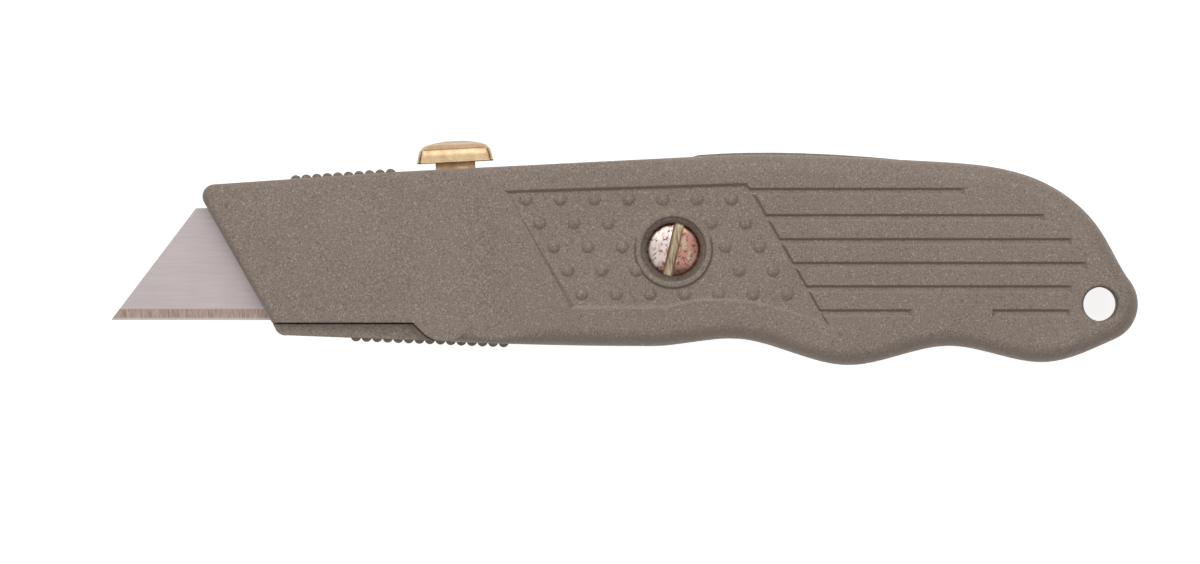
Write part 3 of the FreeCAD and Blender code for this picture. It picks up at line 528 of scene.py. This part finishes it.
def zinc_plate(name):
    """Pink, gold and pale patches of a chromated zinc plate, with dark stains; the pale patches are
    pushed towards the key light's side as a painted highlight.
    """
    screw = bpy.context.scene.knife_screw
    finish = Finish(name)
    patch = finish.noise(2.6 * MM, 2.5, 0.55)
    # Painted highlight: the plate turns paler towards the key light's side, -X and +Y.
    side = finish.math("SUBTRACT", finish.axis("Y"), finish.math("MULTIPLY", finish.axis("X"), 1.2))
    highlight_side = finish.range(side, -2.5 * MM, 3.5 * MM, -0.10, 0.12)
    pale = finish.math("ADD", patch, highlight_side)
    plate = finish.ramp(pale, 0.47, 0.56, tuple(screw.colour), (0.70, 0.60, 0.56))
    gold = finish.noise(1.2 * MM, 2.0, 0.5, finish.stretched((1.0, 0.5, 1.0), (0.0, 0.0, 0.9)))
    plate = finish.mix(finish.range(gold, 0.55, 0.68, 0.0, 0.8), plate, tuple(screw.gold))
    stain = finish.noise(0.7 * MM, 4.0, 0.7)
    plate = finish.mix(finish.range(stain, 0.53, 0.60, 0.0, 0.85), plate, (0.13, 0.06, 0.045))
    finish.colour(slot_painted_shade(finish, screw, plate))
    finish.roughness(finish.range(patch, 0.4, 0.6, 0.22, 0.34))
    turns = finish.math("MULTIPLY", finish.axis("Z"), 2 * math.pi / THREAD_PITCH)
    thread = finish.math("SINE", turns)
    threaded = finish.range(finish.axis("Z"), *THREAD_FADE, 1.0, 0.0)
    rough = finish.math("MULTIPLY", finish.noise(0.4 * MM, 2.0), 0.12)
    height = finish.math("ADD", finish.math("MULTIPLY", thread, threaded), rough)
    finish.bump(height, 0.12 * MM, 0.8, 0.08 * MM)
    finish.set(Metallic=1.0)
    return finish.material


def blade_steel(name, edge_y):
    """Ground strip steel: fine marks along the face, marks across the ground edge."""
    blade = bpy.context.scene.knife_blade
    finish = Finish(name)
    face = tuple(blade.colour)
    along = finish.noise(0.35 * MM, 3.0, 0.6, finish.stretched((0.06, 1.0, 1.0)))
    cloud = finish.noise(6 * MM, 3.0, 0.55)
    steel = finish.ramp(along, 0.3, 0.7, tinted(face, 0.94), tinted(face, 1.05))
    cloud_tone = finish.ramp(cloud, 0.3, 0.7, (0.90, 0.88, 0.88), (1.06, 1.05, 1.06))
    steel = finish.mix(0.6, steel, cloud_tone, "MULTIPLY")
    across = finish.noise(0.30 * MM, 3.0, 0.65, finish.stretched((1.0, 0.03, 1.0)))
    dark, light = tinted(blade.ground_colour, 0.70), tinted(blade.ground_colour, 1.45)
    ground = finish.ramp(across, 0.32, 0.68, dark, light)
    height = finish.math("SUBTRACT", finish.axis("Y"), edge_y)
    on_face = finish.range(height, blade.bevel_height - 0.12 * MM, blade.bevel_height, 0.0, 1.0)
    honed = finish.range(height, 0.30 * MM, 0.45 * MM, 1.0, 0.0)
    edge = finish.mix(finish.math("MULTIPLY", honed, 0.7), ground, (0.62, 0.58, 0.55))
    finish.colour(finish.mix(on_face, edge, steel))
    marks = finish.mix(on_face, across, along)
    finish.roughness(finish.range(cloud, 0.3, 0.7, 0.36, 0.46))
    finish.bump(marks, 0.012 * MM, 0.5)
    finish.set(Metallic=0.72)
    return finish.material


def plain_steel(name, colour, grain, rough):
    """Sheet, wire or rivet steel with its rolling marks and a few dull patches."""
    finish = Finish(name)
    rolled = finish.noise(grain, 3.0, 0.6, finish.stretched((0.12, 1.0, 0.6)))
    toned = finish.ramp(rolled, 0.3, 0.7, tinted(colour, 0.82), tinted(colour, 1.14))
    dull = finish.noise(3.2 * MM, 3.0, 0.6)
    dull_share = finish.range(dull, 0.52, 0.68, 0.0, 0.35)
    finish.colour(finish.mix(dull_share, toned, tinted(colour, 0.62)))
    finish.roughness(finish.range(dull, 0.3, 0.7, rough, rough + 0.14))
    finish.bump(rolled, 0.015 * MM, 0.4, 0.08 * MM)
    finish.set(Metallic=0.95)
    return finish.material


# ---------------------------------------------------------------- piece helpers

def piece(name, shape, material):
    """Turns a new bmesh into a finished piece, with its faces outwards."""
    bmesh.ops.recalc_face_normals(shape, faces=shape.faces)
    return shown(name, shape, material, PIECE_SMOOTH)


def shown(name, shape, material, smooth):
    """Puts a bmesh with good normals on show, shaded smooth between its sharp edges."""
    for face in shape.faces:
        face.smooth = True
        face.material_index = 0
    for edge in shape.edges:
        edge.smooth = len(edge.link_faces) == 2 and edge.calc_face_angle(0) < smooth
    mesh = bpy.data.meshes.new(name)
    shape.to_mesh(mesh)
    shape.free()
    mesh.materials.append(material)
    thing = bpy.data.objects.new(name, mesh)
    bpy.context.scene.collection.objects.link(thing)
    return thing


def stands_for(thing, node):
    """The piece takes the place of a CAD node and rides on the node's body."""
    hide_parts(node)
    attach(thing, BODY_OF[node])


def from_node(node):
    """The node's own shape, with its points welded and its slivers dissolved."""
    shape = bmesh.new()
    shape.from_mesh(frame["nodes"][node].data)
    bmesh.ops.remove_doubles(shape, verts=shape.verts, dist=NODE_WELD)
    bmesh.ops.dissolve_degenerate(shape, dist=SLIVER, edges=shape.edges)
    return shape


def painted_node(node, material):
    """Gives a CAD node its finish, without touching its shape."""
    thing = frame["nodes"][node]
    thing.data.materials.clear()
    thing.data.materials.append(material)


def raised(shape, faces, height, along, wide):
    """Extrudes faces upwards along Y and scales the new end along X and Z."""
    new = bmesh.ops.extrude_face_region(shape, geom=faces)["geom"]
    corners = [g for g in new if isinstance(g, bmesh.types.BMVert)]
    bmesh.ops.translate(shape, verts=corners, vec=Vector((0, height, 0)))
    bmesh.ops.scale(shape, verts=corners, vec=Vector((along, 1, wide)))
    for face in faces:
        if face.is_valid and all(len(e.link_faces) > 2 for e in face.edges):
            bmesh.ops.delete(shape, geom=[face], context="FACES_ONLY")
    return [g for g in new if isinstance(g, bmesh.types.BMFace)]


# ---------------------------------------------------------------- operators

class KNIFE_OT_paint_shells(bpy.types.Operator):
    """Paint both halves, with their welded and smoothed surfaces"""

    bl_idname = "knife.paint_shells"
    bl_label = "Paint the halves"

    def execute(self, context):
        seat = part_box("body_screw")[1].z - context.scene.knife_screw.head_thickness
        for node, tint in (("near_half", NEAR_TINT), ("far_half", FAR_SHADE_LIFT_TINT)):
            shape = from_node(node)
            shape.normal_update()
            low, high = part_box(node)
            outside = high.z if node == "near_half" else low.z
            walls = [f.index for f in shape.faces if self.on_lit_wall(f, outside)]
            seats = [f.index for f in shape.faces if self.in_counterbore(f, seat)]
            half = shown(node + "_painted", shape, shell_paint(node + "_paint", tint), SHELL_SMOOTH)
            # A lighter copy of the paint puts a painted highlight on the recess walls that face the
            # key light.
            half.data.materials.append(shell_paint(node + "_wall_highlight_paint", tint * WALL_HIGHLIGHT_TINT))
            # A lighter paint on the counterbore's seat lifts its shade: painted light.
            half.data.materials.append(shell_paint(node + "_seat_shade_lift_paint", tint * SEAT_SHADE_LIFT_TINT))
            for slot, faces in enumerate((walls, seats), start=1):
                for index in faces:
                    half.data.polygons[index].material_index = slot
            stands_for(half, node)
        return {"FINISHED"}

    def on_lit_wall(self, face, outside):
        """True on the sloping lower walls of the grip panel and the tail grooves, which get a
        painted highlight.
        """
        middle = face.calc_center_median()
        in_recess = all(abs(v.co.z - outside) < RECESS_DEPTH for v in face.verts)
        in_grip = middle.x > GRIP_FRONT and GRIP_FOOT < middle.y < GRIP_TOP
        steep = abs(face.normal.z) < STEEP
        return in_recess and in_grip and steep and face.normal.y > FACING_BUTTON

    def in_counterbore(self, face, seat):
        """True on the flat seat that shows round the screw's head."""
        middle = face.calc_center_median()
        return abs(middle.z - seat) < SEAT_FLATNESS and middle.xy.length < SEAT_REACH


class KNIFE_OT_make_screw(bpy.types.Operator):
    """Turn the domed screw and cut its slot"""

    bl_idname = "knife.make_screw"
    bl_label = "Make the screw"

    def execute(self, context):
        screw = context.scene.knife_screw
        low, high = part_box("body_screw")
        top = high.z
        seat = top - screw.head_thickness
        shoulder = top - screw.dome
        shape = bmesh.new()
        stations = [
            (0, low.z),
            (screw.shank_radius - SCREW_TIP, low.z),
            (screw.shank_radius, low.z + SCREW_TIP),
            (screw.shank_radius, seat),
            (screw.head_radius, seat),
            (screw.head_radius, shoulder - SCREW_RIM),
        ]
        rim = screw.head_radius - SCREW_RIM
        ball = (rim ** 2 + screw.dome ** 2) / (2 * screw.dome)
        for step in range(DOME_STEPS + 1):
            radius = rim * (1 - step / DOME_STEPS)
            stations.append((radius, top - ball + math.sqrt(ball ** 2 - radius ** 2)))
        points = [shape.verts.new((radius, 0, height)) for radius, height in stations]
        edges = [shape.edges.new(pair) for pair in zip(points, points[1:])]
        bmesh.ops.spin(shape, geom=points + edges, axis=(0, 0, 1), cent=(0, 0, 0),
                       angle=2 * math.pi, steps=SPIN_STEPS, use_merge=True)
        bmesh.ops.remove_doubles(shape, verts=shape.verts, dist=WELD)
        self.cut_slot(shape, screw, top - screw.slot_depth)
        bmesh.ops.recalc_face_normals(shape, faces=shape.faces)
        sharp = [e for e in shape.edges if len(e.link_faces) == 2
                 and e.calc_face_angle(0) > math.radians(40) and e.verts[0].co.z > seat - 0.1 * MM]
        bmesh.ops.bevel(shape, geom=sharp, offset=SCREW_BREAK, segments=2, affect="EDGES",
                        profile=0.5, material=-1, clamp_overlap=True)
        bmesh.ops.rotate(shape, verts=shape.verts, cent=(0, 0, 0),
                         matrix=Matrix.Rotation(-screw.slot_turn, 3, "Z"))
        thing = piece("slotted_screw", shape, zinc_plate("zinc_plate"))
        stands_for(thing, "body_screw")
        return {"FINISHED"}

    def cut_slot(self, shape, screw, floor):
        """Opens a flat-bottomed trench across the head, along Y."""
        half = screw.slot_width / 2
        side_way, up = (1, 0, 0), (0, 0, 1)
        planes = (((half, 0, 0), side_way), ((-half, 0, 0), side_way), ((0, 0, floor), up))
        for point, normal in planes:
            everything = shape.verts[:] + shape.edges[:] + shape.faces[:]
            bmesh.ops.bisect_plane(shape, geom=everything, dist=SLIVER,
                                   plane_co=point, plane_no=normal)
        middles = ((face, face.calc_center_median()) for face in shape.faces)
        trench = [face for face, middle in middles if abs(middle.x) < half and middle.z > floor]
        bmesh.ops.delete(shape, geom=trench, context="FACES")
        rim = [e for e in shape.edges if e.is_boundary]
        corners = {}
        for edge in rim:
            for vert in edge.verts:
                on_floor = abs(vert.co.z - floor) < ON_PLANE
                if on_floor and abs(abs(vert.co.x) - half) < ON_PLANE:
                    corners[(vert.co.x > 0, vert.co.y > 0)] = vert
        sides = (False, True)
        bottom = [shape.edges.new((corners[(side, False)], corners[(side, True)]))
                  for side in sides]
        for side, lower in zip(sides, bottom):
            wall = [e for e in rim
                    if all(abs(abs(v.co.x) - half) < ON_PLANE and (v.co.x > 0) == side
                           for v in e.verts)]
            bmesh.ops.edgeloop_fill(shape, edges=wall + [lower])
        ends = [e for e in rim if e.is_valid and e.is_boundary]
        bmesh.ops.edgeloop_fill(shape, edges=ends + bottom)


class KNIFE_OT_make_button(bpy.types.Operator):
    """Make the thumb button: a crowned cap with a thin rim, on its stem"""

    bl_idname = "knife.make_button"
    bl_label = "Make the thumb button"

    def execute(self, context):
        button = context.scene.knife_button
        place = slide_frame()
        shape = bmesh.new()
        base = Vector((0, button.cap_lift, 0))
        level = Matrix.Translation(base) @ Matrix.Rotation(math.radians(90), 4, "X")
        bmesh.ops.create_grid(shape, x_segments=1, y_segments=1, size=0.5, matrix=level)
        bmesh.ops.scale(shape, verts=shape.verts,
                        vec=Vector((button.cap_length, 1, button.cap_width)))
        bmesh.ops.bevel(shape, geom=shape.verts[:], offset=CAP_CORNER, segments=8,
                        affect="VERTICES", profile=0.5, material=-1)
        height = button.cap_height
        steps = [(CAP_RIM, 1.0, 1.0), (CAP_LEDGE, 0.985, 0.978)]
        steps += [(share * height, along, wide) for share, along, wide in CAP_STEPS]
        faces = shape.faces[:]
        for rise, along, wide in steps:
            faces = raised(shape, faces, rise, along, wide)
        top = max(v.co.y for v in shape.verts)
        reach = button.cap_length / 2
        waist = button.cap_lift + CAP_RIM + CAP_WAIST
        lift = button.cap_lift + height - top
        for vert in shape.verts:
            share = max(0.0, (vert.co.y - waist) / (top - waist))
            vert.co.y += share * (lift - CAP_SAG * (vert.co.x / reach) ** 2)
        near = 0.01 * MM
        sharp = [e for e in shape.edges if abs(e.verts[0].co.y - e.verts[1].co.y) < near
                 and min(v.co.y for v in e.verts) < base.y + CAP_RIM + near]
        bmesh.ops.bevel(shape, geom=sharp, offset=CAP_BREAK, segments=2, affect="EDGES",
                        profile=0.5, material=-1, clamp_overlap=True)
        self.add_stem(shape, button)
        bmesh.ops.transform(shape, matrix=place, verts=shape.verts)
        thing = piece("button_cap_and_stem", shape, brass("button_brass_plate"))
        stands_for(thing, "thumb_button")
        return {"FINISHED"}

    def add_stem(self, shape, button):
        """Block from the cap's underside down to the foot in the carrier."""
        top = button.cap_lift + STEM_OVERLAP
        tall = top + button.stem_depth
        made = bmesh.ops.create_cube(shape, size=1.0)["verts"]
        bmesh.ops.scale(shape, verts=made,
                        vec=Vector((button.stem_length, tall, button.stem_width)))
        bmesh.ops.translate(shape, verts=made, vec=Vector((0, top - tall / 2, 0)))
        edges = list({e for v in made for e in v.link_edges})
        bmesh.ops.bevel(shape, geom=edges, offset=STEM_BREAK, segments=2, affect="EDGES",
                        profile=0.5, material=-1, clamp_overlap=True)


class KNIFE_OT_finish_blades(bpy.types.Operator):
    """Give the working blade and the spare blades their ground steel"""

    bl_idname = "knife.finish_blades"
    bl_label = "Finish the blades"

    def execute(self, context):
        edge_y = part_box("working_blade")[0].y
        painted_node("working_blade", blade_steel("working_blade_steel", edge_y))
        spares = sorted(n for n in frame["nodes"]
                        if n.startswith("spare_blade_") and n[-1].isdigit())
        steel = blade_steel("spare_blade_steel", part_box(spares[0])[0].y)
        for node in spares:
            painted_node(node, steel)
        return {"FINISHED"}


class KNIFE_OT_finish_carrier(bpy.types.Operator):
    """Give the carrier, its cover strip and its rivets their steel"""

    bl_idname = "knife.finish_carrier"
    bl_label = "Finish the carrier"

    def execute(self, context):
        for node, name, colour, grain, rough in (
                ("blade_carrier", "carrier_zinc", (0.56, 0.56, 0.58), 0.4 * MM, 0.34),
                ("carrier_cover", "cover_zinc", (0.62, 0.62, 0.63), 0.3 * MM, 0.28),
                ("carrier_rivets", "rivet_bright", (0.70, 0.69, 0.68), 0.2 * MM, 0.24)):
            painted_node(node, plain_steel(name, colour, grain, rough))
        return {"FINISHED"}


class KNIFE_OT_finish_springs(bpy.types.Operator):
    """Give the springs and the spare blades' clip their spring steel"""

    bl_idname = "knife.finish_springs"
    bl_label = "Finish the springs"

    def execute(self, context):
        for node in ("detent_spring", "spare_blade_retainer"):
            blued = plain_steel(node + "_blued", (0.30, 0.32, 0.37), 0.35 * MM, 0.30)
            painted_node(node, blued)
        wire = plain_steel("coil_wire", (0.55, 0.55, 0.57), 0.15 * MM, 0.26)
        coil = shown("button_coil", from_node("button_spring"), wire, COIL_SMOOTH)
        stands_for(coil, "button_spring")
        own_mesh(coil)
        return {"FINISHED"}


class KNIFE_OT_set_stage(bpy.types.Operator):
    """Lay the floor and set the lights and the camera"""

    bl_idname = "knife.set_stage"
    bl_label = "Set the stage"

    def execute(self, context):
        stage = context.scene.knife_stage
        low, high = CAD_BOX
        middle = (low + high) / 2
        self.lay_floor(stage, low)
        self.set_lights(stage, middle)
        self.set_camera(stage, middle)
        context.scene.view_settings.view_transform = "Standard"
        return {"FINISHED"}

    def lay_floor(self, stage, low):
        """A wide, plain panel that glows a little, just under the knife."""
        shape = bmesh.new()
        bmesh.ops.create_grid(shape, x_segments=1, y_segments=1, size=FLOOR_HALF,
                              matrix=Matrix.Translation((0, 0, low.z - FLOOR_GAP)))
        finish = Finish("floor_card")
        tone = tuple(stage.floor_colour)
        mottle = finish.noise(0.05)
        finish.colour(finish.ramp(mottle, 0.3, 0.7, tinted(tone, 0.995), tinted(tone, 1.005)))
        finish.set(Roughness=0.85, Specular_IOR_Level=0.2, Emission_Color=(1, 1, 1, 1),
                   Emission_Strength=stage.floor_glow)
        floor = shown("floor", shape, finish.material, math.pi)

    def area(self, name, place, aim, size, power):
        """A white rectangular light at a place, turned towards its aim."""
        lamp = bpy.data.lights.new(name, "AREA")
        lamp.shape, lamp.size, lamp.size_y = "RECTANGLE", size[0], size[1]
        lamp.energy = power
        thing = bpy.data.objects.new(name, lamp)
        thing.location = place
        thing.rotation_euler = (aim - place).to_track_quat("-Z", "Y").to_euler()
        thing.visible_camera = False
        bpy.context.scene.collection.objects.link(thing)

    def set_lights(self, stage, middle):
        """Even light from all round, a key light and a soft box overhead."""
        world = bpy.data.worlds.new("room")
        world.use_nodes = True
        background = world.node_tree.nodes["Background"]
        background.inputs["Color"].default_value = (1.0, 1.0, 1.0, 1)
        background.inputs["Strength"].default_value = stage.sky
        bpy.context.scene.world = world
        for name, place, size, power in (
                ("key_light", KEY_PLACE, KEY_SIZE, stage.key_power),
                ("soft_box", SOFT_BOX_PLACE, SOFT_BOX_SIZE, stage.soft_box_power)):
            self.area(name, middle + Vector(place), middle, size, power)

    def set_camera(self, stage, middle):
        """A camera straight above the knife, looking down."""
        data = bpy.data.cameras.new("camera")
        data.sensor_width = 36
        data.lens = data.sensor_width * stage.camera_height / stage.picture_width
        data.clip_start, data.clip_end = 0.05, 40
        camera = bpy.data.objects.new("camera", data)
        camera.location = (*CAMERA_OVER, middle.z + stage.camera_height)
        bpy.context.scene.collection.objects.link(camera)
        bpy.context.scene.camera = camera


class KNIFE_PT_finisher(bpy.types.Panel):
    """Sidebar panel with the sizes and the steps"""

    bl_idname = "KNIFE_PT_finisher"
    bl_label = "Utility knife"
    bl_space_type = "VIEW_3D"
    bl_region_type = "UI"
    bl_category = "Knife"

    def draw(self, context):
        for step in STEPS:
            self.layout.operator(step.bl_idname)
        for name, group in SETTINGS.items():
            box = self.layout.box()
            for prop in group.__annotations__:
                box.prop(getattr(context.scene, name), prop)


SETTINGS = {
    "knife_paint": KnifePaintSettings,
    "knife_button": KnifeButtonSettings,
    "knife_screw": KnifeScrewSettings,
    "knife_blade": KnifeBladeSettings,
    "knife_stage": KnifeStageSettings,
}

STEPS = (
    KNIFE_OT_paint_shells,
    KNIFE_OT_make_screw,
    KNIFE_OT_make_button,
    KNIFE_OT_finish_blades,
    KNIFE_OT_finish_carrier,
    KNIFE_OT_finish_springs,
    KNIFE_OT_set_stage,
)


def register():
    for group in SETTINGS.values():
        bpy.utils.register_class(group)
    for name, group in SETTINGS.items():
        setattr(bpy.types.Scene, name, bpy.props.PointerProperty(type=group))
    for step in STEPS:
        bpy.utils.register_class(step)
    bpy.utils.register_class(KNIFE_PT_finisher)


def unregister():
    bpy.utils.unregister_class(KNIFE_PT_finisher)
    for step in reversed(STEPS):
        bpy.utils.unregister_class(step)
    for name, group in SETTINGS.items():
        delattr(bpy.types.Scene, name)
        bpy.utils.unregister_class(group)


def main():
    register()
    bpy.ops.knife.paint_shells()
    bpy.ops.knife.make_screw()
    bpy.ops.knife.make_button()
    bpy.ops.knife.finish_blades()
    bpy.ops.knife.finish_carrier()
    bpy.ops.knife.finish_springs()
    bpy.ops.knife.set_stage()


if __name__ == "__main__":
    main()
